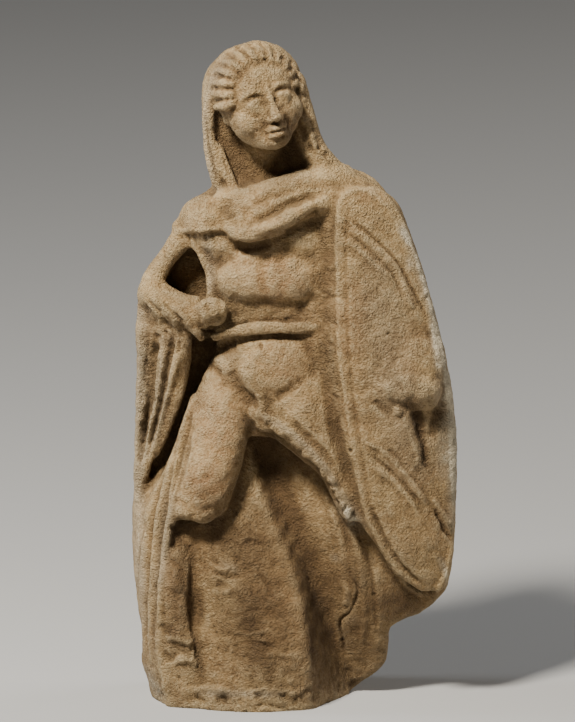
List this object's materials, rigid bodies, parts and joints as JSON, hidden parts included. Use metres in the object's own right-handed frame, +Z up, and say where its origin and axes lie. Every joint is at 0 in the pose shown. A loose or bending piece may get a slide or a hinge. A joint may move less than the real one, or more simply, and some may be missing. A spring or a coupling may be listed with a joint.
{
  "type": "terracotta warrior figurine",
  "caption": "Moulded terracotta figurine of a standing warrior in a long cloak with a tall oval shield, worn and broken, on a low rough base.",
  "frame": {"origin": "centre of the bounding box, at the level of the flat underside", "axes": "+X towards the figure's left hand and shield, +Y towards its back, +Z up; the picture looks along +Y from slightly above"},
  "size_m": [0.065, 0.0344, 0.1332],
  "materials": {
    "terracotta": "unglazed buff-brown fired clay, worn, with sandy grain and pale deposits"
  },
  "bodies": {
    "root": {"warrior_figurine": "terracotta"}
  },
  "joints": []
}
